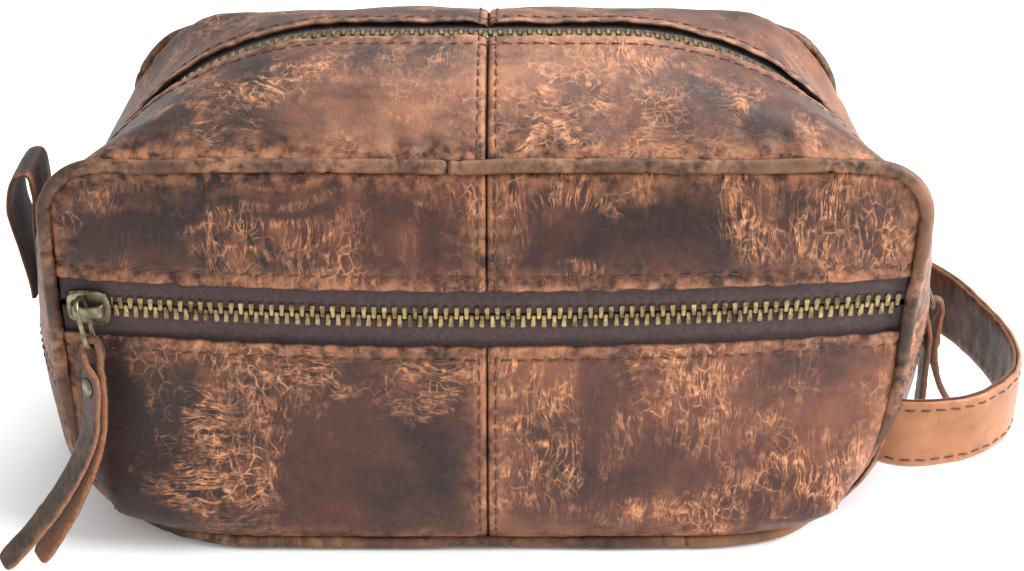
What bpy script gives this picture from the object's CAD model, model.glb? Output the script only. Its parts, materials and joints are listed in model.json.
"""Leather toiletry bag, shaped as if it were full: the looks, laid over the CAD frame.

Lengths are in millimetres until a mesh is made. +X runs to the right, the front faces -Y.
"""

import json
import math

import bpy
import numpy as np
from mathutils import Matrix, Vector

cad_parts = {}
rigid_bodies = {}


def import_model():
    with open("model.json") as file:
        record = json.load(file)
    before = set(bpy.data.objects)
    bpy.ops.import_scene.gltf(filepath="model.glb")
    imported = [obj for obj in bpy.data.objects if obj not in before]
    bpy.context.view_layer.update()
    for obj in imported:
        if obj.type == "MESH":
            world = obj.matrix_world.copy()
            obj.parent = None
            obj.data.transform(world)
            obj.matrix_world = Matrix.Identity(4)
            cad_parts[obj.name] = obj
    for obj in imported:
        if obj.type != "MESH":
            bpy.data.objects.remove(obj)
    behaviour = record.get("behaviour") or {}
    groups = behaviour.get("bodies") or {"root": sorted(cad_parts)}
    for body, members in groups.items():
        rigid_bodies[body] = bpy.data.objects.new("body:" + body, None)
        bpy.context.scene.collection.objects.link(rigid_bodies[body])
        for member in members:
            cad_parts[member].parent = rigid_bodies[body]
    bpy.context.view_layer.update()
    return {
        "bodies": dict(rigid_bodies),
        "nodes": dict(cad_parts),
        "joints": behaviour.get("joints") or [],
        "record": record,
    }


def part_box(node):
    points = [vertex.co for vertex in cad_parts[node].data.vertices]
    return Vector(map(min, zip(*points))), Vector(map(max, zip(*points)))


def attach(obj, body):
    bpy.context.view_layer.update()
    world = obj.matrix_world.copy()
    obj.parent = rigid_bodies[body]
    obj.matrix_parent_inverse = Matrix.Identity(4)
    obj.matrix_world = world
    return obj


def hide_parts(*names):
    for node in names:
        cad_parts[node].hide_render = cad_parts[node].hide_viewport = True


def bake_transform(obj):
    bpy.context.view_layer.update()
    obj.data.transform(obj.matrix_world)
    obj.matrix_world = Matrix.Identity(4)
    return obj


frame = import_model()

MM = 0.001


def box_mm(node):
    low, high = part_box(node)
    return np.array(low) / MM, np.array(high) / MM


# ---- Sizes from the frame ----
pipe_low, pipe_high = box_mm("front_piping_cover")
PIPING_RADIUS = (pipe_high[1] - pipe_low[1]) / 2
HALF_DEPTH = -(pipe_low[1] + pipe_high[1]) / 2
PIPING_HALF_WIDTH = pipe_high[0] - PIPING_RADIUS
PIPING_TOP = pipe_high[2] - PIPING_RADIUS
PIPING_BOTTOM = pipe_low[2] + PIPING_RADIUS
LEATHER = 1.8
SEAM_X = (box_mm("back_panel_left")[1][0] + box_mm("back_panel_right")[0][0]) / 2
CROWN_TOP = box_mm("main_zip_teeth_front")[1][2] + 0.25
CROWN_HALF_WIDTH = 137.0
END_SEAM_Z = box_mm("base_gusset_left")[1][2]
POCKET_ZIP_Z = (box_mm("pocket_zip_teeth_upper")[0][2] + box_mm("pocket_zip_teeth_lower")[1][2]) / 2
SLOT_TOP = box_mm("front_upper_panel_left")[0][2]
SLOT_BOTTOM = box_mm("front_lower_panel_left")[1][2]

# ---- Shape of the shells ----
TOP_CORNER = 16.0
BOTTOM_CORNER = 28.0
CROWN_CORNER = 100.0
BASE_CORNER = 30.0
BASE_MIDDLE = LEATHER / 2
BASE_FLATNESS = 12
TAPER = 0.05
TAPER_HEIGHT = 50.0
FACE_BULGE = 8.5
FACE_MIDDLE = 62.0
FACE_HALF_HEIGHT = 59.5
BAG_MIDDLE = np.array([0, 0, FACE_MIDDLE])
PANEL_INSET = 2.6
MAIN_GAP = 7.5
MAIN_LIP = 5.9
TAPE = 0.7
LEATHER_SHOWN = 0.8  # shares of the thickness that the visible skins have
TAPE_SHOWN = 0.7
TAPE_MIDDLE = -(LEATHER / 2 + 0.3 + TAPE / 2)
TOOTH_PITCH = 2.9
STITCH_PITCH = 4.6
FLOOR_CLEARANCE = 0.05
SEAM_TO_STITCH = 2.4
SLOT_TO_STITCH = 4.2
ZIP_TO_STITCH = 5.0
ROLLED_EDGE = 1.5
UPWARD = np.array([0.0, 0.0, 1.0])
BACKWARD = np.array([0.0, 1.0, 0.0])

# ---- Outlines ----


def taper(z):
    below = np.maximum(0, (TAPER_HEIGHT - z) / TAPER_HEIGHT)
    return 1 - TAPER * below**2


def mix(a, b, share):
    return a + (b - a) * share


class Outline:
    """The gusset's outline at depth y: half width, top, bottom and two corner radii."""

    def __init__(self, y):
        out = np.minimum(1, np.abs(y / HALF_DEPTH))
        full = 1 - out**2
        self.half = mix(PIPING_HALF_WIDTH, CROWN_HALF_WIDTH, full)
        self.top = mix(PIPING_TOP, CROWN_TOP, full)
        self.bottom = mix(PIPING_BOTTOM, BASE_MIDDLE, 1 - out**BASE_FLATNESS)
        self.top_radius = mix(TOP_CORNER, CROWN_CORNER, full)
        self.bottom_radius = mix(BOTTOM_CORNER, BASE_CORNER, full)
        self.run_top = self.half - self.top_radius
        self.run_arc = self.run_top + math.pi / 2 * self.top_radius
        side = self.top - self.top_radius - self.bottom - self.bottom_radius
        self.run_side = self.run_arc + side
        self.run_low = self.run_side + math.pi / 2 * self.bottom_radius
        self.length = self.run_low + self.half - self.bottom_radius

    def point(self, s):
        """x and z of the right half, s mm along from the top middle."""
        turn = np.clip((s - self.run_top) / self.top_radius, 0, math.pi / 2)
        low = np.clip((s - self.run_side) / self.bottom_radius, 0, math.pi / 2)
        down = np.clip(s - self.run_arc, 0, self.run_side - self.run_arc)
        x = np.minimum(s, self.run_top) + self.top_radius * np.sin(turn)
        x = x - self.bottom_radius * (1 - np.cos(low)) - np.maximum(0, s - self.run_low)
        z = self.top - self.top_radius * (1 - np.cos(turn)) - down
        return x, z - self.bottom_radius * np.sin(low)

    def down_to(self, z):
        """The distance along at which the side comes down to height z."""
        arc_end = self.top - self.top_radius
        rise = np.clip((z - arc_end) / self.top_radius, 0, 1)
        on_arc = self.run_top + self.top_radius * np.arccos(rise)
        return np.where(z < arc_end, self.run_arc + arc_end - z, on_arc)


def gusset_point(side, s, y):
    x, z = Outline(y).point(s)
    return np.stack([side * x * taper(z), y + 0 * x, z], -1)


face_edge = PIPING_HALF_WIDTH - PANEL_INSET
face_radius = (face_edge**2 + FACE_BULGE**2) / (2 * FACE_BULGE)


def face_pillow(x, z):
    bow = np.sqrt(face_radius**2 - x**2) - (face_radius - FACE_BULGE)

    def rise(height):
        return 1 - np.abs((height - FACE_MIDDLE) / FACE_HALF_HEIGHT) ** 3

    return bow * np.maximum(0, rise(z)) / rise(POCKET_ZIP_Z)


def face_point(face, x, z):
    return np.stack([x * taper(z), face * (HALF_DEPTH + face_pillow(x, z)), z + 0 * x], -1)


def rounded_in(inset, x, z):
    """Pulls the corner squares of a rectangle into the panel outline's rounded corners."""
    high = z > FACE_MIDDLE
    radius = np.where(high, TOP_CORNER, BOTTOM_CORNER) - inset
    corner_x = PIPING_HALF_WIDTH - inset - radius
    corner_z = np.where(high, PIPING_TOP - inset - radius, PIPING_BOTTOM + inset + radius)
    up = np.where(high, 1, -1)
    p = np.clip((np.abs(x) - corner_x) / radius, 0, 1)
    q = np.clip(up * (z - corner_z) / radius, 0, 1)
    inside = (p <= 0) | (q <= 0)
    round_x = np.sign(x) * (corner_x + radius * p * np.sqrt(1 - q**2 / 2))
    round_z = corner_z + up * radius * q * np.sqrt(1 - p**2 / 2)
    return np.where(inside, x, round_x), np.where(inside, z, round_z)


# ---- Numbers for grids ----


def eased(start, end, count, tight=0.86):
    """Values from start to end that crowd together at both ends."""
    t = np.linspace(0, 1, count)
    return mix(start, end, t - tight * np.sin(2 * math.pi * t) / (2 * math.pi))


def waves(points, length, seed, count=7):
    """A smooth bumpy field about 0, with wavelengths near length."""
    rng = np.random.default_rng(seed)
    total = np.zeros(points.shape[:-1])
    for _ in range(count):
        direction = rng.normal(size=3)
        direction *= 2 * math.pi / (length * rng.uniform(0.7, 1.5) * np.linalg.norm(direction))
        total = total + np.cos(points @ direction + rng.uniform(0, 2 * math.pi))
    return total / math.sqrt(count)


def unit(vectors):
    return vectors / np.maximum(1e-9, np.linalg.norm(vectors, axis=-1, keepdims=True))


def grid_normals(points, away_from):
    normals = unit(np.cross(np.gradient(points, axis=0), np.gradient(points, axis=1)))
    middle = tuple(n // 2 for n in points.shape[:2])
    if np.dot(normals[middle], points[middle] - away_from) < 0:
        normals = -normals
    return normals


def lengths_along(path):
    return np.concatenate([[0], np.cumsum(np.linalg.norm(np.diff(path, axis=0), axis=1))])


def grid_faces(points, outward):
    """Faces of a grid that look along outward, its normal at the first point."""
    index = np.arange(points.shape[0] * points.shape[1]).reshape(points.shape[:2])
    quads = np.stack([index[:-1, :-1], index[1:, :-1], index[1:, 1:], index[:-1, 1:]], -1)
    facing = np.cross(points[1, 0] - points[0, 0], points[0, 1] - points[0, 0])
    if np.dot(facing, outward) < 0:
        quads = quads[..., ::-1]
    return quads.reshape(-1, 4).tolist()


# ---- Materials ----


class Paint:
    """Builds a node material a node at a time."""

    def __init__(self, name):
        self.material = bpy.data.materials.new(name)
        self.material.use_nodes = True
        self.tree = self.material.node_tree
        self.shader = self.tree.nodes["Principled BSDF"]
        coordinates = self.tree.nodes.new("ShaderNodeTexCoord")
        self.place = coordinates.outputs["Object"]

    def node(self, kind, settings=None, **inputs):
        node = self.tree.nodes.new(kind)
        for key, value in (settings or {}).items():
            setattr(node, key, value)
        for key, value in inputs.items():
            self.put(node.inputs[key], value)
        return node

    def put(self, socket, value):
        if isinstance(value, bpy.types.NodeSocket):
            self.tree.links.new(value, socket)
        else:
            socket.default_value = value

    def math(self, operation, a, b=0.0, c=0.0, clamp=False):
        node = self.node("ShaderNodeMath", {"operation": operation, "use_clamp": clamp})
        for socket, value in zip(node.inputs, (a, b, c)):
            self.put(socket, value)
        return node.outputs[0]

    def stretched(self, scale, turn=(0, 0, 0), source=None):
        node = self.node("ShaderNodeMapping", {"vector_type": "POINT"})
        self.put(node.inputs["Vector"], source or self.place)
        node.inputs["Scale"].default_value = scale
        node.inputs["Rotation"].default_value = turn
        return node.outputs[0]

    def noise(self, scale, detail=3.0, roughness=0.5, distortion=0.0, vector=None):
        node = self.node("ShaderNodeTexNoise")
        self.put(node.inputs["Vector"], vector or self.place)
        node.inputs["Scale"].default_value = scale
        node.inputs["Detail"].default_value = detail
        node.inputs["Roughness"].default_value = roughness
        node.inputs["Distortion"].default_value = distortion
        return node.outputs["Fac"]

    def cells(self, scale, feature="DISTANCE_TO_EDGE", vector=None):
        node = self.node("ShaderNodeTexVoronoi", {"feature": feature})
        self.put(node.inputs["Vector"], vector or self.place)
        node.inputs["Scale"].default_value = scale
        return node.outputs["Distance"]

    def warped(self, amount, scale, source=None):
        noise = self.node("ShaderNodeTexNoise")
        self.put(noise.inputs["Vector"], source or self.place)
        noise.inputs["Scale"].default_value = scale
        noise.inputs["Detail"].default_value = 3.0
        shift = self.node("ShaderNodeVectorMath", {"operation": "MULTIPLY_ADD"})
        self.put(shift.inputs[0], noise.outputs["Color"])
        shift.inputs[1].default_value = (amount,) * 3
        self.put(shift.inputs[2], source or self.place)
        return shift.outputs[0]

    def ramp(self, value, *stops):
        """stops are (position, grey or colour)."""
        node = self.node("ShaderNodeValToRGB")
        self.put(node.inputs["Fac"], value)
        band = node.color_ramp
        while len(band.elements) < len(stops):
            band.elements.new(1.0)
        for element, (position, colour) in zip(band.elements, stops):
            element.position = position
            grey = not hasattr(colour, "__len__")
            element.color = (colour,) * 3 + (1,) if grey else (*colour, 1)
        return node.outputs["Color"]

    def blend(self, share, a, b, mode="MIX"):
        node = self.node("ShaderNodeMix", {"data_type": "RGBA", "blend_type": mode})
        self.put(node.inputs["Factor"], share)
        for socket, value in ((node.inputs["A"], a), (node.inputs["B"], b)):
            ready = value if isinstance(value, bpy.types.NodeSocket) else (*value, 1)
            self.put(socket, ready)
        return node.outputs["Result"]

    def attribute(self, name):
        return self.node("ShaderNodeAttribute", {"attribute_name": name}).outputs["Fac"]

    def bump(self, *layers):
        """Each layer is (height, strength, distance in metres)."""
        normal = None
        for height, strength, distance in layers:
            node = self.node("ShaderNodeBump")
            self.put(node.inputs["Height"], height)
            node.inputs["Strength"].default_value = strength
            node.inputs["Distance"].default_value = distance
            if normal:
                self.put(node.inputs["Normal"], normal)
            normal = node.outputs["Normal"]
        self.put(self.shader.inputs["Normal"], normal)

    def finish(self, colour, roughness, **constants):
        self.put(self.shader.inputs["Base Color"], colour)
        self.put(self.shader.inputs["Roughness"], roughness)
        for key, value in constants.items():
            self.shader.inputs[key].default_value = value
        return self.material


def pull_up_leather(name, dark, middle, worn, vein, wear=0.9, veins=1.0, shift=0.0, steepness=0.0):
    """Dark waxed leather, lighter where it is pulled, with fans of fine orange cracks."""
    paint = Paint(name)
    rightwards = paint.node("ShaderNodeSeparateXYZ", {}, Vector=paint.place).outputs["X"]
    moved = paint.node("ShaderNodeMapping", {}, Vector=paint.place, Location=(shift, shift * 0.7, -shift))
    paint.place = moved.outputs[0]
    patches = paint.noise(13, 4, 0.55, 0.7)
    blotches = paint.noise(48, 5, 0.62, 0.4)
    cloud = paint.math("MULTIPLY_ADD", blotches, 0.4, paint.math("MULTIPLY", patches, 0.7))
    cloud = paint.math("MULTIPLY_ADD", rightwards, 0.35, cloud)
    base = paint.ramp(cloud, (0.47, dark), (0.60, middle), (0.78, worn))

    def hairlines(scale, turn, width, warp):
        """Flowing lines where a stretched noise crosses its middle value."""
        vector = paint.stretched(scale, turn, paint.warped(warp, 34))
        away = paint.math("ABSOLUTE", paint.math("SUBTRACT", paint.noise(1.0, 2.5, 0.55, 0.5, vector), 0.5))
        return paint.ramp(away, (0.0, 1.0), (width, 0.4), (width * 2.6, 0.0))

    across = paint.math(
        "MAXIMUM",
        hairlines((55, 60, 480), (0, 0.4, 0), 0.022, 0.020),
        hairlines((70, 70, 360), (0, 0.1, 0), 0.014, 0.030),
    )
    steep = paint.math(
        "MAXIMUM",
        hairlines((420, 60, 48), (0, -0.2, 0), 0.020, 0.014),
        hairlines((330, 70, 60), (0, 0.25, 0), 0.014, 0.020),
    )
    net_edge = paint.cells(1.0, vector=paint.stretched((300, 170, 190), (0, 0.4, 0), paint.warped(0.014, 60)))
    net = paint.ramp(net_edge, (0.0, 0.9), (0.03, 0.4), (0.09, 0.0))
    side = paint.ramp(paint.noise(11, 1, 0.5, 0.2), (0.46 - steepness, 0.0), (0.54 - steepness, 1.0))
    fans = paint.blend(side, across, steep)
    where = paint.ramp(paint.noise(24, 3, 0.6, 1.0), (0.47, 0.0), (0.60, 1.0))
    near = paint.ramp(paint.noise(70, 3, 0.6, 0.6), (0.44, 0.0), (0.62, 1.0))
    near_lines = paint.ramp(paint.noise(58, 4, 0.65, 1.0), (0.42, 0.12), (0.58, 1.0))
    fans = paint.math("MULTIPLY", fans, near_lines)
    lines = paint.math("MAXIMUM", fans, paint.math("MULTIPLY", net, near))
    broken = paint.ramp(paint.noise(520, 2), (0.36, 0.25), (0.58, 1.0))
    lines = paint.math("MULTIPLY", lines, broken)
    lines = paint.math("MULTIPLY", lines, paint.math("MULTIPLY_ADD", where, 0.95, 0.05))
    lines = paint.math("MULTIPLY", lines, veins, clamp=True)
    haze_place = paint.stretched((150, 90, 110), (0, 0.5, 0), paint.warped(0.01, 50))
    haze_noise = paint.noise(1.0, 5, 0.7, 1.2, haze_place)
    haze = paint.ramp(haze_noise, (0.46, 0.0), (0.66, 1.0))
    haze = paint.math("MULTIPLY", paint.math("MULTIPLY", haze, where), 0.6 * veins, clamp=True)
    colour = paint.blend(haze, base, worn)
    colour = paint.blend(lines, colour, vein)

    rub = paint.ramp(paint.noise(240, 4, 0.65), (0.40, 0.0), (0.62, 1.0))
    rubbed = paint.math("MULTIPLY", paint.math("MULTIPLY", paint.attribute("wear"), rub), wear, clamp=True)
    rubbed_tone = paint.blend(0.35, worn, vein)
    colour = paint.blend(rubbed, colour, rubbed_tone)
    colour = paint.blend(paint.math("MULTIPLY", paint.attribute("crease"), 0.85), colour, CREASE)

    grain = paint.cells(1500, "F1", paint.warped(0.0008, 900))
    rough = paint.math("MULTIPLY_ADD", blotches, 0.2, 0.40)
    rough = paint.math("MULTIPLY_ADD", lines, 0.18, rough)
    paint.bump(
        (paint.noise(38, 3), 0.25, 0.003),
        (paint.noise(190, 4, 0.62, 0.8), 0.42, 0.0007),
        (lines, -0.45, 0.0005),
        (grain, 0.25, 0.00022),
    )
    return paint.finish(colour, rough, **{"Specular IOR Level": 0.28})


def suede(name, light, dark):
    paint = Paint(name)
    colour = paint.ramp(paint.noise(900, 5, 0.7), (0.3, dark), (0.7, light))
    paint.bump((paint.noise(2400, 4, 0.7), 0.6, 0.0003))
    return paint.finish(colour, 0.92, **{"Specular IOR Level": 0.15, "Sheen Weight": 0.25})


def thread(name, colour):
    paint = Paint(name)
    fibre = paint.noise(5200, 3, 0.6)
    shade = paint.ramp(fibre, (0.3, [c * 0.45 for c in colour]), (0.7, colour))
    paint.bump((fibre, 0.5, 0.0001))
    return paint.finish(shade, 0.7, **{"Specular IOR Level": 0.3})


def twill(name, dark, light):
    """Woven zip tape: fine diagonal ribs crossed by the yarns."""
    paint = Paint(name)
    ribs = paint.node("ShaderNodeTexWave", {"bands_direction": "DIAGONAL"}, Scale=430.0, Distortion=0.6)
    yarns = paint.node("ShaderNodeTexWave", {"bands_direction": "X"}, Scale=620.0, Distortion=0.4)
    weave = paint.math("MULTIPLY", ribs.outputs["Fac"], yarns.outputs["Fac"])
    dust = paint.noise(700, 4, 0.7)
    share = paint.math("MULTIPLY_ADD", dust, 0.5, paint.math("MULTIPLY", weave, 0.5))
    colour = paint.ramp(share, (0.25, dark), (0.75, light))
    paint.bump((weave, 0.7, 0.0002), (dust, 0.3, 0.0002))
    return paint.finish(colour, 0.85, **{"Specular IOR Level": 0.2, "Sheen Weight": 0.15})


def antique_brass(name, bright, tarnish, amount=0.5):
    paint = Paint(name)
    stain = paint.noise(330, 5, 0.65, 0.5)
    scratches = paint.noise(1.0, 2, 0.5, 0.0, paint.stretched((400, 5200, 5200), (0.3, 0.2, 0.6)))
    share = paint.ramp(stain, (amount - 0.16, 0.0), (amount + 0.14, 1.0))
    colour = paint.blend(share, bright, tarnish)
    rough = paint.math("MULTIPLY_ADD", share, 0.25, 0.24)
    paint.bump((scratches, 0.12, 0.0001), (paint.noise(900, 3), 0.12, 0.0002))
    return paint.finish(colour, rough, Metallic=0.92)


def cotton(name, colour):
    paint = Paint(name)
    warp = paint.node("ShaderNodeTexWave", {"bands_direction": "X"}, Scale=500.0, Distortion=0.5)
    weft = paint.node("ShaderNodeTexWave", {"bands_direction": "Z"}, Scale=500.0, Distortion=0.5)
    weave = paint.math("MULTIPLY", warp.outputs["Fac"], weft.outputs["Fac"])
    shade = paint.ramp(weave, (0.1, [c * 0.6 for c in colour]), (0.8, colour))
    paint.bump((weave, 0.5, 0.0002))
    return paint.finish(shade, 0.92, **{"Specular IOR Level": 0.15})


CREASE = (0.006, 0.003, 0.002)
DARK = (0.015, 0.0054, 0.0048)
MIDDLE = (0.052, 0.0170, 0.0115)
WORN = (0.170, 0.060, 0.030)
VEIN = (0.62, 0.27, 0.125)
front_leather = pull_up_leather("front_leather", DARK, MIDDLE, WORN, VEIN)
strip_leather = pull_up_leather(
    "strip_leather", (0.011, 0.004, 0.0035), (0.040, 0.012, 0.008), WORN, VEIN, shift=0.13, steepness=0.2
)
top_leather = pull_up_leather(
    "top_leather", DARK, (0.080, 0.030, 0.018), (0.24, 0.100, 0.050), VEIN, veins=0.8, shift=0.31
)
back_leather = pull_up_leather("back_leather", DARK, MIDDLE, WORN, VEIN, shift=0.57)
piping_leather = pull_up_leather(
    "piping_leather", (0.014, 0.007, 0.005), (0.062, 0.028, 0.016), (0.24, 0.112, 0.056), (0.30, 0.14, 0.07),
    wear=1.0, veins=0.4, shift=0.9,
)
tan_leather = pull_up_leather(
    "tan_leather", (0.11, 0.042, 0.018), (0.24, 0.095, 0.040), (0.40, 0.175, 0.080), (0.45, 0.20, 0.09),
    wear=0.6, veins=0.35, shift=1.3,
)
pull_leather = pull_up_leather(
    "pull_leather", (0.030, 0.017, 0.011), (0.085, 0.048, 0.030), (0.19, 0.105, 0.062), (0.25, 0.13, 0.07),
    wear=0.5, veins=0.35, shift=1.7,
)
orange_suede = suede("orange_suede", (0.27, 0.105, 0.045), (0.075, 0.030, 0.016))
brown_suede = suede("brown_suede", (0.10, 0.042, 0.022), (0.03, 0.013, 0.008))
brown_thread = thread("brown_thread", (0.10, 0.045, 0.026))
zip_twill = twill("zip_twill", (0.028, 0.015, 0.016), (0.17, 0.105, 0.100))
tooth_brass = antique_brass("tooth_brass", (0.34, 0.25, 0.12), (0.07, 0.052, 0.028), 0.50)
slider_brass = antique_brass("slider_brass", (0.25, 0.21, 0.13), (0.07, 0.058, 0.04), 0.50)
lining_cotton = cotton("lining_cotton", (0.30, 0.25, 0.18))
cord_cotton = cotton("cord_cotton", (0.62, 0.58, 0.48))

# ---- Making pieces ----


def smoothstep(value, low, high):
    t = np.clip((value - low) / (high - low), 0, 1)
    return t * t * (3 - 2 * t)


LEAN_TOP = 2.6
LEAN_BOTTOM = 5.0
REAR_DROP = 9.0
BELLY = 6.5


def settled(points):
    """Leans and slumps the stuffed bag: its right end narrows downwards, its rear corners are rounder."""
    points = np.array(points, float)
    x, y, z = points[..., 0], points[..., 1], points[..., 2]
    right = np.clip(x / PIPING_HALF_WIDTH, 0, 1) ** 2
    front = smoothstep(-y, -45, 45)
    lean = LEAN_TOP * smoothstep(z, 55, 110)
    lean = lean - LEAN_BOTTOM * (1 - smoothstep(z, 8, 62)) * smoothstep(z, -12, 12)
    rear = smoothstep(y, -15, 55)
    corner = rear * smoothstep(np.abs(x), 78, 128) * smoothstep(z, 60, 124)
    belly = smoothstep(-y, 15, 57) * (1 - smoothstep(z, 2, 52)) * (1 - smoothstep(np.abs(x), 66, 118))
    out = points.copy()
    out[..., 1] = y - BELLY * belly
    out[..., 0] = x + right * front * lean - np.sign(x) * REAR_DROP * corner
    out[..., 2] = z - REAR_DROP * corner
    return out


# Strips sewn to the bag bend between these two points: (body, start, end).
HANDLE_BEND = ("handle", (0.121, 0, 0.035), (0.146, 0, 0.035))
TAB_BEND = ("end_tab", (-0.139, 0, 0.055), (-0.139, 0, 0.072))


def mesh_piece(name, points, faces, materials, body="bag", replaced=(), smooth=True):
    """body is a body's name, or one of the bends above."""
    mesh = bpy.data.meshes.new(name)
    if body == "bag":
        points = settled(points)
    mesh.from_pydata([tuple(p) for p in np.asarray(points, float) * MM], [], faces)
    for material in materials:
        mesh.materials.append(material)
    mesh.polygons.foreach_set("use_smooth", [smooth] * len(mesh.polygons))
    mesh.update()
    piece = bpy.data.objects.new(name, mesh)
    bpy.context.scene.collection.objects.link(piece)
    if isinstance(body, tuple):
        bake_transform(piece)
    else:
        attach(piece, body)
    if replaced:
        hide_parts(*replaced)
    return piece


def paint_attribute(piece, name, values):
    layer = piece.data.attributes.new(name, "FLOAT", "POINT")
    layer.data.foreach_set("value", np.clip(values, 0, 1).astype(np.float32).ravel())


class Shell:
    """A skin on a grid, with its distances to the edges kept for seams and stitches."""

    def __init__(self, name, points, material, edges, replaced):
        normals = grid_normals(points, BAG_MIDDLE)
        points = points + normals * (LEATHER / 2)
        nearest = np.full(points.shape[:2], 1e3)
        sink = np.zeros(points.shape[:2])
        crease = np.zeros(points.shape[:2])
        for distance, depth, width in edges:
            distance = np.maximum(distance, 0)
            nearest = np.minimum(nearest, distance)
            sink += depth * np.exp(-((distance / width) ** 1.3))
            lip = np.clip(1 - distance / ROLLED_EDGE, 0, 1)
            sink += 0.9 * (1 - np.sqrt(1 - lip**2 * 0.98))
            crease = np.maximum(crease, np.exp(-((distance / 0.5) ** 2)))
        calm = 1 - np.exp(-((nearest / 14) ** 2))
        swell = 0.75 * waves(points, 85, 3) + 0.32 * waves(points, 33, 4) + 0.12 * waves(points, 14, 5)
        points = points + normals * (swell * calm - sink)[..., None]
        points[..., 2] = np.maximum(points[..., 2], FLOOR_CLEARANCE)
        self.points = points
        self.normals = grid_normals(points, BAG_MIDDLE)
        self.piece = mesh_piece(
            name, points.reshape(-1, 3), grid_faces(points, self.normals[0, 0]), [material],
            replaced=replaced,
        )
        paint_attribute(self.piece, "wear", np.exp(-nearest / 3.2) * 1.2)
        paint_attribute(self.piece, "crease", crease)
        thick = self.piece.modifiers.new("leather", "SOLIDIFY")
        thick.thickness = LEATHER * LEATHER_SHOWN * MM
        thick.offset = -1

    def row(self, axis, index):
        """A grid line and its normals."""
        return np.take(self.points, index, axis), np.take(self.normals, index, axis)


def pucker(distance, along, row, depth=0.32, width=1.1):
    """The groove that a row of stitches pulls into the leather, as a height to add."""
    groove = np.exp(-(((distance - row) / width) ** 2))
    return -depth * groove * (0.6 + 0.4 * np.cos(2 * math.pi * along / STITCH_PITCH))


def resample(path, normals, pitch, start=1.5, end=1.5):
    """Points every pitch mm along a path, with their tangents and normals."""
    lengths = lengths_along(path)
    at = np.arange(start, lengths[-1] - end, pitch)
    place = np.stack([np.interp(at, lengths, path[:, k]) for k in range(3)], -1)
    ahead = np.stack([np.interp(at + 0.4, lengths, path[:, k]) for k in range(3)], -1)
    normal = unit(np.stack([np.interp(at, lengths, normals[:, k]) for k in range(3)], -1))
    tangent = unit(ahead - place)
    return place, tangent, normal


def capsule(length, radius, rings=5, sides=7):
    """A thread stitch lying along X: vertices and faces."""
    points = [(-length / 2, 0, 0)]
    for k in range(rings):
        t = (k + 0.5) / rings
        x = -length / 2 * math.cos(math.pi * t)
        r = radius * math.sin(math.pi * t) ** 0.45
        for j in range(sides):
            angle = 2 * math.pi * j / sides
            points.append((x, r * math.cos(angle), r * math.sin(angle)))
    points.append((length / 2, 0, 0))
    faces = []
    last = len(points) - 1
    for j in range(sides):
        following = (j + 1) % sides
        faces.append((0, 1 + following, 1 + j))
        for k in range(rings - 1):
            a = 1 + k * sides
            b = a + sides
            faces.append((a + j, a + following, b + following, b + j))
        tail = 1 + (rings - 1) * sides
        faces.append((last, tail + j, tail + following))
    return np.array(points), faces


def scattered(shape, places, axes):
    """Copies of a shape: places (n, 3), axes (n, 3, 3) with rows X, Y, Z."""
    base, faces = shape
    points = (places[:, None, :] + np.einsum("vk,nkc->nvc", base, axes)).reshape(-1, 3)
    everything = []
    for n in range(len(places)):
        everything.extend(tuple(v + n * len(base) for v in face) for face in faces)
    return points, everything


def stitch_row(name, rows, body="bag", length=3.1, radius=0.34, lean=0.09):
    """One piece of thread stitches along several rows of (path, normals)."""
    places, axes = [], []
    rng = np.random.default_rng(len(name))
    for path, normals in rows:
        place, tangent, normal = resample(path, normals, STITCH_PITCH)
        across = unit(np.cross(normal, tangent))
        tilt = rng.normal(0, lean, len(place))[:, None]
        along = unit(tangent + across * tilt)
        places.append(place + normal * 0.06)
        axes.append(np.stack([along, unit(np.cross(normal, along)), normal], 1))
    points, faces = scattered(capsule(length, radius), np.concatenate(places), np.concatenate(axes))
    mesh_piece(name, points, faces, [brown_thread], body=body)


# ---- Leather shells ----

PANEL_X = PIPING_HALF_WIDTH - PANEL_INSET + 1.1
PANEL_TOP = PIPING_TOP - PANEL_INSET + 1.1
PANEL_BOTTOM = PIPING_BOTTOM + PANEL_INSET - 1.1
GUSSET_EDGE = HALF_DEPTH - PANEL_INSET + 1.1
EDGE_SINK = 1.0
SLUMP = 7.0


def face_grid(face, side, z_from, z_to, nx, nz):
    x = eased(side * PANEL_X, SEAM_X + side * 0.1, nx)[:, None]
    z = eased(z_from, z_to, nz)[None, :]
    grid_x, grid_z = np.broadcast_arrays(x, z)
    points = face_point(face, *rounded_in(PIPING_HALF_WIDTH - PANEL_X, grid_x, grid_z))
    return points, grid_x, grid_z


def edge_ripple(along, seed, length=9.0):
    line = np.stack([along, 0 * along, 0 * along], -1)
    return waves(line, length, seed) + 0.6 * waves(line, length * 2.3, seed + 1)


def gathered(distance, height, reach, ripple):
    """Puckers beside a piped seam, calm at the seam itself and gone beyond reach."""
    return height * np.exp(-((distance / reach) ** 2)) * ripple * (1 - np.exp(-distance / 2))


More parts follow.
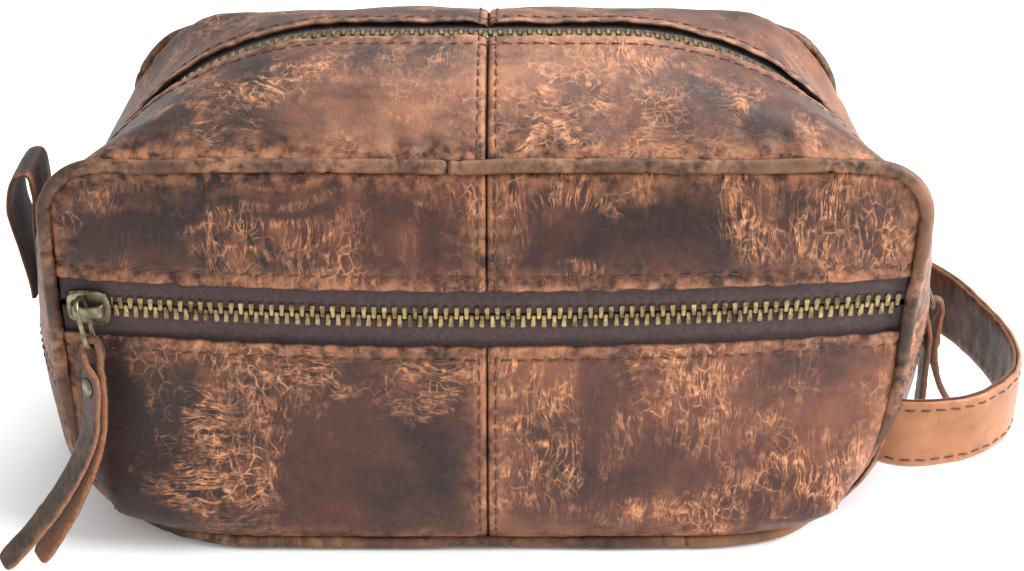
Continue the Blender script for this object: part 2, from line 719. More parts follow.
def face_panel(name, face, side, z_from, z_to, material, nx, nz, slot_at=None, full=0.0):
    points, x, z = face_grid(face, side, z_from, z_to, nx, nz)
    to_side = PANEL_X - np.abs(x)
    to_seam = np.abs(x - SEAM_X)
    edges = [(to_side, EDGE_SINK, 2.6), (to_seam, 0.5, 1.2)]
    low, high = min(z_from, z_to), max(z_from, z_to)
    push = np.zeros(x.shape)
    for at, kind in ((low, z - low), (high, high - z)):
        if at == slot_at:
            edges.append((kind, 0.0, 1.0))
            push += pucker(kind, x, SLOT_TO_STITCH, 0.55)
            fold = np.exp(-((kind / 4.5) ** 2))
            scallop = 0.3 * np.cos(2 * math.pi * x / STITCH_PITCH / 2)
            push += fold * (0.55 + 0.28 * edge_ripple(x, int(at)) + scallop)
        else:
            edges.append((kind, EDGE_SINK, 2.6))
            push += gathered(kind, 0.35, 8, edge_ripple(x, 21, 13))
    push += gathered(to_side, 0.45, 9, edge_ripple(z, 31, 12))
    push += pucker(to_seam, z, SEAM_TO_STITCH, 0.3, 0.9)
    if full:
        share_x = np.clip(np.abs(x - SEAM_X) / PANEL_X, 0, 1)
        share_z = np.clip((z - low) / (high - low), 0, 1)
        push += full * np.sin(math.pi * share_z) * (1 - share_x**3)
        steep = 1 - np.exp(-((np.minimum(to_side, z - low) / 6) ** 2))
        push += SLUMP * steep * smoothstep(share_x, 0.45, 0.9) * (1 - smoothstep(z, 14, 46))
    points = points + np.array([0, face, 0]) * push[..., None]
    shell = Shell(f"{name}_leather", points, material, edges, [name])
    shell.x, shell.z = x, z
    return shell


shells = {}
for side, word in ((-1, "left"), (1, "right")):
    shells[f"upper_{word}"] = face_panel(
        f"front_upper_panel_{word}", -1, side, PANEL_TOP, SLOT_TOP, strip_leather, 190, 70, SLOT_TOP
    )
    shells[f"lower_{word}"] = face_panel(
        f"front_lower_panel_{word}", -1, side, PANEL_BOTTOM, SLOT_BOTTOM, front_leather, 190, 120,
        SLOT_BOTTOM, 2.6,
    )
    shells[f"back_{word}"] = face_panel(
        f"back_panel_{word}", 1, side, PANEL_BOTTOM, PANEL_TOP, back_leather, 150, 150, None, 1.5
    )


def gusset_edges(y, along_seam, at_end):
    to_piping = GUSSET_EDGE - np.abs(y)
    return [(to_piping, EDGE_SINK, 2.6), (along_seam, 0.5, 1.2), (at_end, 0.6, 1.3)]


def top_gusset(name, face, side):
    nu, nv = 300, 64
    y = face * eased(GUSSET_EDGE, MAIN_LIP, nv)[None, :] + np.zeros((nu, 1))
    end = Outline(y).down_to(END_SEAM_Z + 0.15)
    start = side * SEAM_X + 0.1
    s = mix(start, end, eased(0, 1, nu, 0.5)[:, None])
    points = gusset_point(side, s, y)
    to_seam, to_end = s - start, end - s
    to_piping, to_zip = GUSSET_EDGE - np.abs(y), np.abs(y) - MAIN_LIP
    outward = unit(points - BAG_MIDDLE)
    along = side * s
    push = pucker(to_zip, along, ZIP_TO_STITCH, 0.5)
    push += np.exp(-((to_zip / 4.5) ** 2)) * (0.35 + 0.25 * edge_ripple(along, 41 + face))
    push += gathered(to_piping, 0.5, 8, edge_ripple(along, 51 + face, 11))
    push += pucker(to_seam, y, SEAM_TO_STITCH, 0.3, 0.9) + pucker(to_end, y, SEAM_TO_STITCH, 0.35, 0.9)
    points = points + outward * push[..., None]
    edges = gusset_edges(y, to_seam, to_end) + [(to_zip, 0.0, 1.0)]
    shell = Shell(f"{name}_leather", points, top_leather, edges, [name])
    shell.s, shell.y = s, y
    return shell


def base_gusset(name, side):
    nu, nv = 220, 90
    y = eased(-GUSSET_EDGE, GUSSET_EDGE, nv)[None, :] + np.zeros((nu, 1))
    outline = Outline(y)
    start = outline.down_to(END_SEAM_Z - 0.15)
    end = outline.length - side * SEAM_X - 0.1
    s = mix(start, end, eased(0, 1, nu, 0.5)[:, None])
    points = gusset_point(side, s, y)
    to_top, to_seam = s - start, end - s
    to_piping = GUSSET_EDGE - np.abs(y)
    outward = unit(points - BAG_MIDDLE)
    push = pucker(to_top, y, SEAM_TO_STITCH, 0.35, 0.9)
    push += gathered(to_piping, 0.4, 8, edge_ripple(side * s, 61, 11))
    points = points + outward * (push * np.clip((points[..., 2] - 1) / 14, 0, 1))[..., None]
    edges = gusset_edges(y, to_seam, to_top)
    shell = Shell(f"{name}_leather", points, back_leather, edges, [name])
    shell.s, shell.y = s, y
    return shell


for side, word in ((-1, "left"), (1, "right")):
    shells[f"top_front_{word}"] = top_gusset(f"top_gusset_front_{word}", -1, side)
    shells[f"top_rear_{word}"] = top_gusset(f"top_gusset_rear_{word}", 1, side)
    shells[f"base_{word}"] = base_gusset(f"base_gusset_{word}", side)

# ---- Stitches along the seams and slots ----


def line_at(shell, axis, field, value):
    """The grid line whose field is nearest value, taken at the middle of the shell."""
    middle = field.shape[1 - axis] // 2
    profile = np.take(field, middle, 1 - axis)
    return shell.row(axis, int(np.argmin(np.abs(profile - value))))


rows = []
for word, side in (("left", -1), ("right", 1)):
    upper, lower, back = (shells[f"{part}_{word}"] for part in ("upper", "lower", "back"))
    rows.append(line_at(upper, 1, upper.z, SLOT_TOP + SLOT_TO_STITCH))
    rows.append(line_at(lower, 1, lower.z, SLOT_BOTTOM - SLOT_TO_STITCH))
    for shell in (upper, lower, back):
        rows.append(line_at(shell, 0, shell.x, SEAM_X + side * SEAM_TO_STITCH))
stitch_row("panel_stitches", rows)

rows = []
for word, side in (("left", -1), ("right", 1)):
    for part, face in (("front", -1), ("rear", 1)):
        shell = shells[f"top_{part}_{word}"]
        rows.append(line_at(shell, 1, shell.y, face * (MAIN_LIP + ZIP_TO_STITCH)))
        rows.append(line_at(shell, 0, shell.s, shell.s[0, 0] + SEAM_TO_STITCH))
        rows.append(line_at(shell, 0, shell.s, shell.s[-1, shell.s.shape[1] // 2] - SEAM_TO_STITCH))
    base = shells[f"base_{word}"]
    rows.append(line_at(base, 0, base.s, base.s[0, base.s.shape[1] // 2] + SEAM_TO_STITCH))
stitch_row("gusset_stitches", rows)

# ---- Piping ----


def rounded_loop(face, count, start, end):
    """Points along the piping between two distances from the top middle, clockwise."""
    outline = Outline(HALF_DEPTH)
    whole = 2 * outline.length
    along = np.linspace(start, end, count) % whole
    left = along > outline.length
    x, z = outline.point(np.where(left, whole - along, along))
    x = np.where(left, -x, x) * taper(z)
    return np.stack([x, face * HALF_DEPTH + 0 * x, z], -1)


def tube(path, up, radius, sides):
    """Grid points of a tube; radius is (n, sides) or a number."""
    tangent = unit(np.gradient(path, axis=0))
    side = unit(np.cross(tangent, up))
    top = np.cross(side, tangent)
    angle = np.arange(sides) * 2 * math.pi / sides
    ring = np.cos(angle)[None, :, None] * side[:, None] + np.sin(angle)[None, :, None] * top[:, None]
    return path[:, None] + ring * (np.zeros((len(path), sides)) + radius)[..., None]


def tube_faces(count, sides):
    """Faces of a tube with both ends closed."""
    index = np.arange(count * sides).reshape(count, sides)
    rolled = np.roll(index, -1, 1)
    quads = np.stack([index[:-1], rolled[:-1], rolled[1:], index[1:]], -1).reshape(-1, 4)[:, ::-1]
    return quads.tolist() + [index[0].tolist(), index[-1][::-1].tolist()]


def tucked(points):
    """The front piping slips under the slumped lower corners of the panel."""
    x, z = points[..., 0], points[..., 2]
    share = smoothstep(np.abs(x), 72, 108) * (1 - smoothstep(z, 22, 62))
    return points + share[..., None] * np.stack([-1.8 * np.sign(x), 2.6 + 0 * x, 0.6 + 0 * x], -1)


PIPING_JOINT = -9.0
for face, word in ((-1, "front"), (1, "back")):
    count, sides = 1500, 16
    whole = 2 * Outline(HALF_DEPTH).length
    path = rounded_loop(face, count, PIPING_JOINT + 0.2, PIPING_JOINT + whole - 0.2)
    rng = np.random.default_rng(7 + face)
    path = tucked(path) if face < 0 else path
    path = path + 0.28 * np.stack([waves(path, 34, 70), waves(path, 41, 71) * 0.8, waves(path, 30, 72)], -1)
    angle = np.arange(sides) * 2 * math.pi / sides
    along = np.linspace(0, whole, count)[:, None]
    fold = np.zeros((count, sides))
    for _ in range(120):
        at, width, depth = rng.uniform(0, whole), rng.uniform(0.5, 1.3), rng.uniform(0.08, 0.4)
        skew, centre = rng.uniform(-1.2, 1.2), rng.uniform(0, 2 * math.pi)
        reach = np.clip(np.cos(angle - centre) + 0.35, 0, 1)[None, :]
        slant = skew * np.sin(angle - centre)[None, :]
        fold += depth * reach * np.exp(-(((along - at - slant) / width) ** 2))
    for joint in (0, whole):
        fold += 0.5 * np.exp(-(((along - joint) / 0.7) ** 2))
    points = tube(path, BACKWARD, PIPING_RADIUS - fold, sides)
    piece = mesh_piece(
        f"{word}_piping", points.reshape(-1, 3), tube_faces(count, sides), [piping_leather],
        replaced=[f"{word}_piping_cover"],
    )
    paint_attribute(piece, "crease", np.clip(fold * 1.6 - 0.15, 0, 1))
    paint_attribute(piece, "wear", 0.30 + 0.40 * waves(points, 22, 75))

# ---- Zip tapes and teeth ----


def pocket_track(distance, across):
    return face_point(-1, distance + 0 * across, POCKET_ZIP_Z + across + 0 * distance)


def main_track(distance, across):
    distance, across = np.broadcast_arrays(distance, across)
    side = np.where(distance < 0, -1, 1)
    x, z = Outline(across).point(np.abs(distance))
    return np.stack([side * x * taper(z), across + 0 * x, z], -1)


TAPE_HIDDEN = 5.5
TAPE_EDGE = 1.0


def zip_tape(name, track, side, start, end, half_slot, count):
    distance = np.linspace(start, end, count)[:, None]
    across = side * np.linspace(TAPE_EDGE, half_slot + TAPE_HIDDEN, 16)[None, :]
    points = track(distance, across)
    normals = grid_normals(points, BAG_MIDDLE)
    sag = 0.12 * waves(points, 16, 81) + 0.08 * waves(points, 7, 82)
    height = TAPE_MIDDLE + TAPE / 2 + sag * 0.5 - 0.15
    points = points + normals * height[..., None]
    piece = mesh_piece(
        f"{name}_twill", points.reshape(-1, 3), grid_faces(points, normals[0, 0]), [zip_twill],
        replaced=[name],
    )
    thick = piece.modifiers.new("cloth", "SOLIDIFY")
    thick.thickness = TAPE * TAPE_SHOWN * MM
    thick.offset = -1


TOOTH_OVERLAP = 0.75
TOOTH_REACH = 3.3
TOOTH_HEIGHT = 2.3


def tooth():
    """X along the zip, Y away from its middle, Z outwards; chamfered all round."""
    profile = [
        (-TOOTH_OVERLAP, 0.48, 0.5), (-TOOTH_OVERLAP + 0.3, 0.68, 0.9),
        (0.4, 0.70, 1.0), (0.9, 0.66, 1.0),
        (1.6, 0.78, 1.0), (2.4, 0.84, 1.0), (TOOTH_REACH - 0.35, 0.82, 0.95), (TOOTH_REACH, 0.58, 0.55),
    ]
    corner = 0.3
    points, faces = [], []
    for y, half, tall in profile:
        top = TOOTH_HEIGHT / 2 * tall
        ring = [
            (half, top - corner), (half - corner * 0.8, top),
            (corner * 0.8 - half, top), (-half, top - corner),
            (-half, corner - top), (corner * 0.8 - half, -top),
            (half - corner * 0.8, -top), (half, corner - top),
        ]
        points.extend((x, y, z) for x, z in ring)
    for k in range(len(profile) - 1):
        for j in range(8):
            a, b = k * 8 + j, k * 8 + (j + 1) % 8
            faces.append((a, a + 8, b + 8, b))
    faces.append(tuple(range(8)))
    faces.append(tuple(range(len(points) - 1, len(points) - 9, -1)))
    return np.array(points, float), faces


def zip_teeth(name, track, side, start, end):
    """Teeth along one side, the other side's falling between them."""
    middle = np.arange(start + 0.5, end - 0.3, 0.25)
    path = track(middle, np.array(0.0))
    lengths = lengths_along(path)
    offset = 0.0 if side > 0 else TOOTH_PITCH / 2
    at = np.arange(offset + 0.3, lengths[-1], TOOTH_PITCH)
    s = np.interp(at, lengths, middle)
    here = track(s, np.array(0.0))
    ahead = track(s + 0.4, np.array(0.0))
    sideways = track(s, np.array(side * 2.0))
    along = unit(ahead - here)
    away = unit(sideways - here)
    outward = unit(np.cross(along, away)) * side
    outward *= np.sign(np.sum(outward * (here - BAG_MIDDLE), -1))[:, None]
    turned = unit(np.cross(away, outward))
    rng = np.random.default_rng(5)
    wobble = rng.normal(0, 0.04, (len(here), 1))
    turned = unit(turned + away * wobble)
    away = unit(np.cross(outward, turned)) * np.sign(np.sum(np.cross(outward, turned) * away, -1))[:, None]
    axes = np.stack([turned, away, outward], 1)
    points, faces = scattered(tooth(), here + outward * TAPE_MIDDLE, axes)
    mesh_piece(
        f"{name}_chain", points, faces, [tooth_brass], replaced=[name], smooth=False
    )


POCKET_SLIDER_X = -111.0
SLIDER_LENGTH = 13.0
SLIDER_WIDTH = 11.0
POST = 2.2
MAIN_SLIDER_ANGLE = math.radians(11.8)
pocket_end = face_edge + 0.8
pocket_start = POCKET_SLIDER_X - SLIDER_LENGTH / 2 + POST + 0.7
crown_x = CROWN_HALF_WIDTH - CROWN_CORNER
crown_z = CROWN_TOP - CROWN_CORNER
main_end = float(Outline(np.array(0.0)).down_to(END_SEAM_Z + 1))
main_slider_at = crown_x + CROWN_CORNER * (math.pi / 2 - MAIN_SLIDER_ANGLE)
main_row_end = main_slider_at + SLIDER_LENGTH / 2 - POST - 0.7
for side, half in ((1, "upper"), (-1, "lower")):
    zip_tape(f"pocket_zip_tape_{half}", pocket_track, side, -pocket_end, pocket_end, 8.5, 220)
    zip_teeth(f"pocket_zip_teeth_{half}", pocket_track, side, pocket_start, face_edge - 0.5)
for side, half in ((-1, "front"), (1, "rear")):
    zip_tape(f"main_zip_tape_{half}", main_track, side, -main_end, main_end, MAIN_GAP, 420)
    zip_teeth(f"main_zip_teeth_{half}", main_track, side, -main_end, main_row_end)

# ---- Straps, sliders, links and rivets ----


def catmull(corners, per_span=24):
    """A centripetal Catmull-Rom curve through the corners."""
    corners = np.asarray(corners, float)
    padded = np.vstack([2 * corners[0] - corners[1], corners, 2 * corners[-1] - corners[-2]])
    out = []
    for k in range(len(corners) - 1):
        p0, p1, p2, p3 = padded[k : k + 4]
        d1, d2, d3 = (max(1e-6, np.linalg.norm(b - a)) ** 0.5 for a, b in ((p0, p1), (p1, p2), (p2, p3)))
        m1 = d2 * ((p1 - p0) / d1 - (p2 - p0) / (d1 + d2) + (p2 - p1) / d2)
        m2 = d2 * ((p2 - p1) / d2 - (p3 - p1) / (d2 + d3) + (p3 - p2) / d3)
        t = np.linspace(0, 1, per_span, endpoint=False)[:, None]
        out.append(
            (2 * t**3 - 3 * t**2 + 1) * p1 + (t**3 - 2 * t**2 + t) * m1
            + (3 * t**2 - 2 * t**3) * p2 + (t**3 - t**2) * m2
        )
    out.append(corners[-1:])
    return np.vstack(out)


def evenly(path, count):
    lengths = lengths_along(path)
    at = np.linspace(0, lengths[-1], count)
    return np.stack([np.interp(at, lengths, path[:, k]) for k in range(3)], -1)


STRAP_ACROSS = 17


def uneven(height, length, seed, fine_height, fine_length):
    """A strap's relief: waves of two lengths, the finer ones from the next seed."""

    def relief(along, offset, from_edge):
        point = np.stack([along + 0 * offset, offset + 0 * along, 0 * from_edge], -1)
        return height * waves(point, length, seed) + fine_height * waves(point, fine_length, seed + 1)

    return relief


def strap(name, path, across, width, thickness, materials, body, replaced, relief=None, rounding=0.9):
    """A strip of leather. Its materials: the face towards tangent x across, the other face, the cut edge."""
    tangent = unit(np.gradient(path, axis=0))
    across = np.broadcast_to(across, path.shape)
    across = unit(across - tangent * np.sum(across * tangent, -1, keepdims=True))
    normal = np.cross(tangent, across)
    share = np.linspace(-1, 1, STRAP_ACROSS)
    share = np.sign(share) * (1 - (1 - np.abs(share)) ** 1.5)
    half = (np.zeros(len(path)) + width)[:, None] / 2
    from_edge = half * (1 - np.abs(share)[None, :])
    drop = 0.32 * thickness * np.clip(1 - from_edge / rounding, 0, 1) ** 2
    along = lengths_along(path)[:, None]
    extra = relief(along, half * share, from_edge) if relief else 0 * from_edge
    flat = path[:, None] + across[:, None] * (half * share)[..., None]
    outer = flat + normal[:, None] * (thickness / 2 - drop + extra)[..., None]
    inner = flat - normal[:, None] * (thickness / 2 - drop - extra)[..., None]
    ring = np.concatenate([outer, inner[:, ::-1]], 1)
    count, sides = ring.shape[:2]
    faces = tube_faces(count, sides)
    volume_sign = np.dot(np.cross(ring[1, 0] - ring[0, 0], ring[0, 1] - ring[0, 0]), normal[0])
    if volume_sign < 0:
        faces = [face[::-1] for face in faces]
    piece = mesh_piece(name, ring.reshape(-1, 3), faces, materials, body=body, replaced=replaced)
    kinds = np.zeros(sides, int)
    kinds[STRAP_ACROSS:] = 1
    kinds[[STRAP_ACROSS - 1, sides - 1]] = 2
    index = np.concatenate([np.tile(kinds, count - 1), [2, 2]])
    piece.data.polygons.foreach_set("material_index", index.astype(np.int32))
    wear = np.exp(-from_edge / 1.3)
    paint_attribute(piece, "wear", np.concatenate([wear, wear[:, ::-1]], 1))
    piece.data.update()
    return outer, np.broadcast_to(normal[:, None], outer.shape)


def place(frame, points):
    origin, axes = frame
    return origin + np.asarray(points, float) @ axes


def nested(frame, origin, axes):
    """A frame within a frame; axes are rows."""
    return place(frame, origin), np.asarray(axes, float) @ frame[1]


def basis(travel, outward):
    travel, outward = unit(np.array(travel, float)), unit(np.array(outward, float))
    return np.stack([travel, np.cross(outward, travel), outward])


def rotation(radians, axis):
    return np.array(Matrix.Rotation(radians, 3, axis)).T


PLATE_TOP = 1.4
PLATE_UNDER = 0.2
PLATE_OVER = -3.3
PLATE = 1.2
LUG_HOLE = 2.1
LUG_BAR = 1.1
LUG_WIDTH = 3.4
WIRE_Z = PLATE_TOP + LUG_HOLE / 2
WIRE = 0.7
LINK_RADIUS = 3.2
LINK_STRAIGHT = 4.2
LINK_REACH = 2 * (LINK_RADIUS + LINK_STRAIGHT)


def slider_outline(shrink):
    """Half-waisted plan of a slider's plate, pointed shoulders first."""
    half, wide = SLIDER_LENGTH / 2 - shrink, SLIDER_WIDTH / 2 - shrink
    corners = [
        (half, 0), (half - 0.3, wide * 0.45), (half - 1.2, wide * 0.86), (half - 3.2, wide),
        (0.5, wide * 0.93), (-half * 0.45, wide * 0.86), (-half + 1.6, wide * 0.80),
        (-half + 0.4, wide * 0.62), (-half, wide * 0.25), (-half, 0),
    ]
    loop = corners + [(x, -y) for x, y in corners[-2:0:-1]]
    return np.array(loop)


def plate(z0, z1):
    points, faces = [], []
    levels = ((z0, 0.45), (z0 + 0.28, 0.08), (z0 + 0.5, 0), (z1 - 0.45, 0), (z1 - 0.16, 0.1), (z1, 0.5))
    for z, shrink in levels:
        points.extend((x, y, z) for x, y in slider_outline(shrink))
    sides = len(slider_outline(0))
    for k in range(len(levels) - 1):
        for j in range(sides):
            a, b = k * sides + j, k * sides + (j + 1) % sides
            faces.append((a, b, b + sides, a + sides))
    faces.append(tuple(range(sides - 1, -1, -1)))
    faces.append(tuple(range(len(points) - sides, len(points))))
    return points, faces


def swept_bar(path, across, widths, thickness):
    """A bar with a rounded rectangular section: for the crown, flanges and post."""
    path = np.asarray(path, float)
    tangent = unit(np.gradient(path, axis=0))
    across = np.asarray(across, float)
    normal = np.cross(tangent, across)
    corner = 0.3 * thickness
    points = []
    for here, up, width in zip(path, normal, widths):
        w, t = width / 2, thickness / 2
        for a, b in ((w, t - corner), (w - corner, t), (corner - w, t), (-w, t - corner),
                     (-w, corner - t), (corner - w, -t), (w - corner, -t), (w, corner - t)):
            points.append(here + across * a + up * b)
    return points, [face[::-1] for face in tube_faces(len(path), 8)]


def slider_piece(name, frame, body):
    reach = SLIDER_WIDTH / 2
    arch_angle = np.linspace(0, math.pi, 19)
    foot = foot_width = 4.4
    rise = LUG_HOLE + LUG_BAR
    arch = np.stack([
        -foot * np.cos(arch_angle), 0 * arch_angle,
        PLATE_TOP - 0.4 + (rise - LUG_BAR / 2 + 0.4) * np.sin(arch_angle) ** 0.55,
    ], -1)
    arch_widths = mix(foot_width, LUG_WIDTH, np.sin(arch_angle) ** 0.8)
    parts = [
        plate(PLATE_UNDER, PLATE_TOP),
        plate(PLATE_OVER - PLATE, PLATE_OVER),
        swept_bar(arch, (0, 1, 0), arch_widths, LUG_BAR),
        swept_bar([(POST / 2 - SLIDER_LENGTH / 2, 0, z) for z in (PLATE_OVER - 0.3, -1.5, PLATE_UNDER + 0.3)],
                  (0, 1, 0), [1.9] * 3, POST),
    ]
    for side in (-1, 1):
        for z in (PLATE_UNDER - 0.1, PLATE_OVER + 0.1):
            path = [(x, side * (reach - 0.7 - 0.55 * max(0, -x / 5.5)), z) for x in np.linspace(-5.3, 2.6, 9)]
            parts.append(swept_bar(path, (0, 0, 1), [1.7] * 9, 1.1))
    points, faces = [], []
    for some_points, some_faces in parts:
        faces.extend(tuple(v + len(points) for v in face) for face in some_faces)
        points.extend(some_points)
    piece = mesh_piece(name, place(frame, points), faces, [slider_brass], body=body,
                       replaced=[body], smooth=False)
    soften = piece.modifiers.new("worn", "BEVEL")
    soften.width = 0.12 * MM
    soften.segments = 2
    soften.limit_method = "ANGLE"
    soften.angle_limit = math.radians(32)
    piece.data.polygons.foreach_set("use_smooth", [True] * len(piece.data.polygons))
    edge = piece.modifiers.new("shading", "WEIGHTED_NORMAL")
    edge.keep_sharp = True


def link_piece(name, frame, body):
    turn = np.linspace(0, 2 * math.pi, 73)[:-1]
    x = LINK_RADIUS * np.cos(turn)
    x = x + np.tanh(np.cos(turn) * 14) * LINK_STRAIGHT + LINK_REACH / 2
    path = np.stack([x, LINK_RADIUS * np.sin(turn), 0 * turn], -1)
    closed = np.vstack([path[-2:], path, path[:2]])
    points = tube(closed, UPWARD, WIRE, 12)[2:-2]
    count, sides = points.shape[:2]
    index = np.arange(count * sides).reshape(count, sides)
    rolled, ahead = np.roll(index, -1, 1), np.roll(index, -1, 0)
    quads = np.stack([index, rolled, np.roll(ahead, -1, 1), ahead], -1).reshape(-1, 4)[:, ::-1]
    mesh_piece(name, place(frame, points.reshape(-1, 3)), quads.tolist(), [slider_brass],
               body=body, replaced=[body])


PULL_LAYER = 2.0
PULL_GAP = 0.3
PULL_WIDTH = 9.0
FOLD_WIDTH = 3.0
FOLD_BAR = WIRE + 0.8 + PULL_LAYER / 2
RIVET_DOWN = 12.0
RIVET_HEAD = 3.0


def sideways(reach, start):
    return lambda t: reach * max(0, (t - start) / (1 - start)) ** 1.7


def pull_pieces(zip_name, frame, length, turn, drift_turn, front, back):
    """The folded strip and its rivet, in the pull's frame."""
    close = (PULL_LAYER + PULL_GAP) / 2
    stations = [1, 0.85, 0.7, 0.55, 0.4, 0.25]
    outer = [(length * t, close, front(t)) for t in stations]
    inner = [(length * t, -close, back(t)) for t in stations]
    fold = [
        (-FOLD_BAR * math.sin(math.radians(a)), FOLD_BAR * math.cos(math.radians(a)), 0)
        for a in (55, 90, 125)
    ]
    waist = RIVET_DOWN - RIVET_HEAD
    corners = (
        outer + [(waist, close, 0), (1.5, FOLD_BAR, 0)] + fold
        + [(1.5, -FOLD_BAR, 0), (waist, -close, 0)] + inner[::-1]
    )
    path = evenly(catmull(corners), 260)
    width = mix(FOLD_WIDTH, PULL_WIDTH, smoothstep(path[:, 0], 1, waist))
    tip = np.minimum(np.arange(260), np.arange(260)[::-1]) * (2 * length / 260)
    width = width * mix(0.72, 1, np.clip(tip / 2.5, 0, 1) ** 0.5)
    share = smoothstep(path[:, 0], 0, waist) * math.radians(turn)
    cosine, sine = np.cos(share), np.sin(share)
    drift = math.radians(drift_turn)
    y = -path[:, 1] * sine - path[:, 2] * math.sin(drift)
    z = path[:, 1] * cosine + path[:, 2] * math.cos(drift)
    bent = np.stack([path[:, 0], y, z], -1)
    across = np.stack([0 * share, cosine, sine], -1)
    strap(
        f"{zip_name}_pull_strip", place(frame, bent), across @ frame[1], width, PULL_LAYER,
        [orange_suede, pull_leather, orange_suede], f"{zip_name}_pull", [f"{zip_name}_pull"],
        uneven(0.10, 9, 91, 0.05, 4), 0.8,
    )
    profile = [
        (0.01, 0.95), (1.2, 0.88), (2.2, 0.66), (2.75, 0.35), (RIVET_HEAD, 0.08), (2.9, -0.06), (0.9, -0.1),
    ]
    grip = PULL_LAYER + PULL_GAP / 2 + 0.05
    points, faces = [], []
    sides = 28
    for face in (-1, 1):
        base = len(points)
        for radius, high in profile:
            for j in range(sides):
                a = 2 * math.pi * j / sides
                points.append((radius * math.cos(a), radius * math.sin(a) * face, face * (grip + high)))
        for k in range(len(profile) - 1):
            for j in range(sides):
                a, b = base + k * sides + j, base + k * sides + (j + 1) % sides
                faces.append((a, a + sides, b + sides, b))
        faces.append(tuple(base + j for j in range(sides)))
    rivet_frame = nested(frame, (RIVET_DOWN, 0, 0), rotation(math.radians(turn), "X"))
    mesh_piece(f"{zip_name}_rivet_caps", place(rivet_frame, points), faces, [slider_brass],
               body=f"{zip_name}_pull", replaced=[f"{zip_name}_rivet"])


bow = math.asin(-POCKET_SLIDER_X / face_radius)
seat = face_point(-1, np.array(POCKET_SLIDER_X), np.array(POCKET_ZIP_Z))
pocket_frame = (seat, basis((math.cos(bow), -math.sin(bow), 0), (-math.sin(bow), -math.cos(bow), 0)))
POCKET_LEAN, POCKET_OUT = 12.0, 7.0
lean = math.radians(POCKET_LEAN)
over_crown = LUG_WIDTH / 2 + LINK_RADIUS
link_axes = basis((math.sin(lean), -math.cos(lean), 0), (-math.cos(lean), -math.sin(lean), 0))
link_axes = link_axes @ rotation(math.radians(-POCKET_OUT), "X")
link_at = (-1.2, over_crown, WIRE_Z + LINK_RADIUS - over_crown * math.sin(math.radians(POCKET_OUT)))
pocket_link_frame = nested(pocket_frame, link_at, link_axes)
pocket_pull_frame = nested(pocket_link_frame, (LINK_REACH, 0, 0), rotation(-lean, "Y"))
slider_piece("pocket_slider_body", pocket_frame, "pocket_slider")
link_piece("pocket_link_wire", pocket_link_frame, "pocket_link")
pull_pieces("pocket", pocket_pull_frame, 64.0, -44.0, -28.0, sideways(28, 0.3), sideways(20, 0.3))

main_out = (math.cos(MAIN_SLIDER_ANGLE), 0, math.sin(MAIN_SLIDER_ANGLE))
main_up = (-math.sin(MAIN_SLIDER_ANGLE), 0, math.cos(MAIN_SLIDER_ANGLE))
main_seat = np.array([crown_x, 0, crown_z]) + CROWN_CORNER * np.array(main_out)
main_frame = (main_seat, basis(main_up, main_out))
LIFT = math.radians(10)
link_down = (-math.cos(LIFT), 0, math.sin(LIFT))
link_out = (math.sin(LIFT), 0, math.cos(LIFT))
main_link_frame = nested(main_frame, (0, 0, WIRE_Z), basis(link_down, link_out))
main_pull_frame = nested(main_link_frame, (LINK_REACH, 0, 0), rotation(LIFT + MAIN_SLIDER_ANGLE, "Y"))
slider_piece("main_slider_body", main_frame, "main_slider")
link_piece("main_link_wire", main_link_frame, "main_link")
pull_pieces("main", main_pull_frame, 37.0, 0.0, 0.0, sideways(8, 0.4), sideways(0, 0.4))

# ---- Handle and end tab ----
HANDLE_Z = 35.0
HANDLE_WIDTH = 22.0
HANDLE_LAYER = 1.5
HANDLE_PLAN = [
    (116.5, -50.5), (125, -54.2), (136, -53.6), (147, -49.5), (159, -38),
    (164, -22), (162, 0), (155, 22), (143, 42), (127, 56.5),
]
handle_path = evenly(catmull([(x, y, HANDLE_Z) for x, y in HANDLE_PLAN]), 300)
tangent = unit(np.gradient(handle_path, axis=0))
outward = np.cross(tangent, (0, 0, 1))
handle_rows = []


def handle_relief(along, offset, from_edge):
    stitched = pucker(from_edge, along, 3.0, 0.3, 0.8)
    return uneven(0.22, 26, 93, 0.10, 9)(along, offset, from_edge) + stitched


for name, shift in (("handle_inner", -1), ("handle_outer", 1)):
    path = handle_path + outward * shift * (HANDLE_LAYER + 0.1) / 2
    materials = [tan_leather] * 3 if shift > 0 else [brown_suede, piping_leather, brown_suede]
    outer, normal = strap(
        f"{name}_strip", path, UPWARD, HANDLE_WIDTH, HANDLE_LAYER, materials, HANDLE_BEND, [name],
        handle_relief, 1.1,
    )
    if shift > 0:
        for k in (3, STRAP_ACROSS - 4):
            handle_rows.append((outer[:, k], normal[:, k]))
stitch_row("handle_stitches", handle_rows, body=HANDLE_BEND)

TAB_WIDTH = 22.0
TAB_THICKNESS = 1.6
TAB_PROFILE = [
    (-137.8, END_SEAM_Z + 4), (-137.0, 70), (-136.7, 82), (-136.0, 92), (-137.2, 98.4), (-141.0, 97.6),
    (-144.0, 88), (-142.4, 76), (-140.2, 64), (-139.8, END_SEAM_Z + 4),
]
tab_path = evenly(catmull([(x, 0, z) for x, z in TAB_PROFILE]), 200)
strap(
    "end_tab_strip", tab_path, BACKWARD, TAB_WIDTH, TAB_THICKNESS,
    [brown_suede, top_leather, brown_suede], TAB_BEND, ["end_tab"],
    uneven(0.16, 20, 95, 0.06, 6), 0.9,
)

# ---- Inner pieces: the CAD shapes, slumped with the bag ----


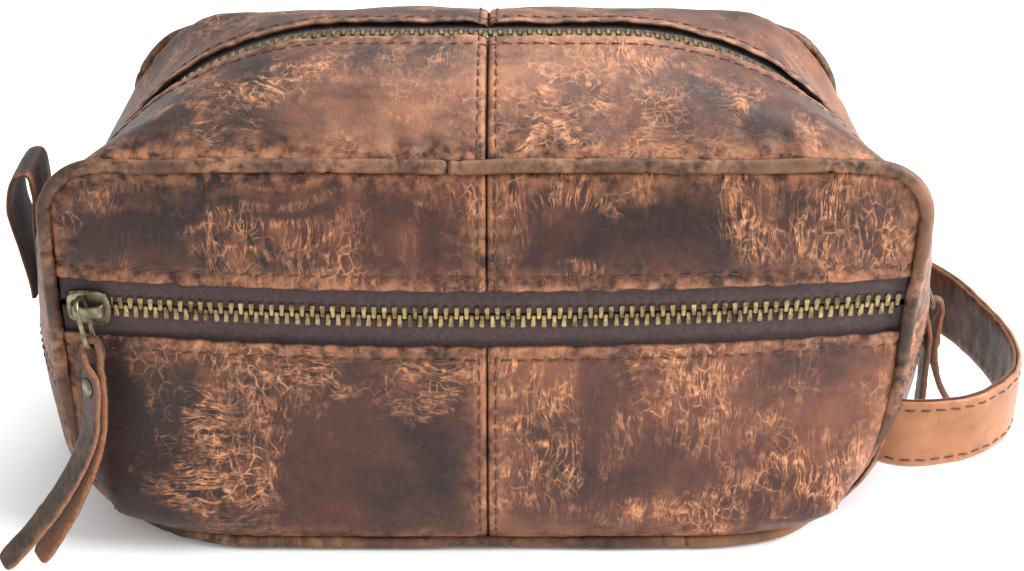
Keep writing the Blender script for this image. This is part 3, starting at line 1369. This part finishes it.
def slumped_copy(name, material):
    node = frame["nodes"][name]
    points = np.array([tuple(node.matrix_world @ vertex.co) for vertex in node.data.vertices]) / MM
    faces = [tuple(polygon.vertices) for polygon in node.data.polygons]
    if name == "front_piping_core":
        points = tucked(points)
    return mesh_piece(f"{name}_slumped", points, faces, [material], replaced=[name])


for name in ("pocket_back_wall", "lining_back", "lining_top_front", "lining_top_rear", "lining_base"):
    lining = slumped_copy(name, lining_cotton)
    finer = lining.modifiers.new("finer", "SUBSURF")
    finer.subdivision_type = "SIMPLE"
    finer.levels = finer.render_levels = 2
    clouds = bpy.data.textures.new(f"{name}_wrinkles", "CLOUDS")
    clouds.noise_scale = 0.02
    wrinkle = lining.modifiers.new("wrinkles", "DISPLACE")
    wrinkle.texture = clouds
    wrinkle.strength = 0.4 * MM
    wrinkle.texture_coords = "LOCAL"
for name in ("front_piping_core", "back_piping_core"):
    slumped_copy(name, cord_cotton)

# ---- Floor, light and camera ----
floor_paint = bpy.data.materials.new("floor")
floor_paint.use_nodes = True
floor_shader = floor_paint.node_tree.nodes["Principled BSDF"]
floor_shader.inputs["Base Color"].default_value = (0.97, 0.97, 0.97, 1)
floor_shader.inputs["Roughness"].default_value = 0.8
floor_shader.inputs["Specular IOR Level"].default_value = 0.1
bpy.ops.mesh.primitive_plane_add(size=8.0, location=(0, 0, 0))
floor = bpy.context.object
floor.name = "floor"
floor.data.materials.append(floor_paint)

world = bpy.data.worlds.new("studio")
bpy.context.scene.world = world
world.use_nodes = True
world.node_tree.nodes["Background"].inputs["Color"].default_value = (1, 1, 1, 1)
world.node_tree.nodes["Background"].inputs["Strength"].default_value = 0.86
bpy.context.scene.view_settings.view_transform = "Standard"


def area_light(name, position, target, size, power, size_y=None):
    data = bpy.data.lights.new(name, "AREA")
    data.shape = "RECTANGLE"
    data.size = size
    data.size_y = size_y or size
    data.energy = power
    light = bpy.data.objects.new(name, data)
    light.location = position
    light.rotation_euler = (Vector(target) - Vector(position)).to_track_quat("-Z", "Y").to_euler()
    bpy.context.scene.collection.objects.link(light)


MIDDLE_OF_BAG = (0, 0, 0.07)
area_light("key", (1.15, -0.25, 0.85), MIDDLE_OF_BAG, 0.9, 42)
area_light("top", (0.35, 0.55, 1.2), MIDDLE_OF_BAG, 1.2, 16, 0.8)
area_light("fill", (-0.5, -1.4, 0.7), MIDDLE_OF_BAG, 1.4, 5)

CAMERA_PLACE = (8.8, -546.6, 346.0)
CAMERA_LOOK = (0, 0.883, -0.469)
LENS = 68.9
camera_data = bpy.data.cameras.new("camera")
camera_data.lens = LENS
camera_data.sensor_width = 36
camera = bpy.data.objects.new("camera", camera_data)
camera.location = Vector(CAMERA_PLACE) * MM
camera.rotation_euler = Vector(CAMERA_LOOK).to_track_quat("-Z", "Y").to_euler()
bpy.context.scene.collection.objects.link(camera)
bpy.context.scene.camera = camera
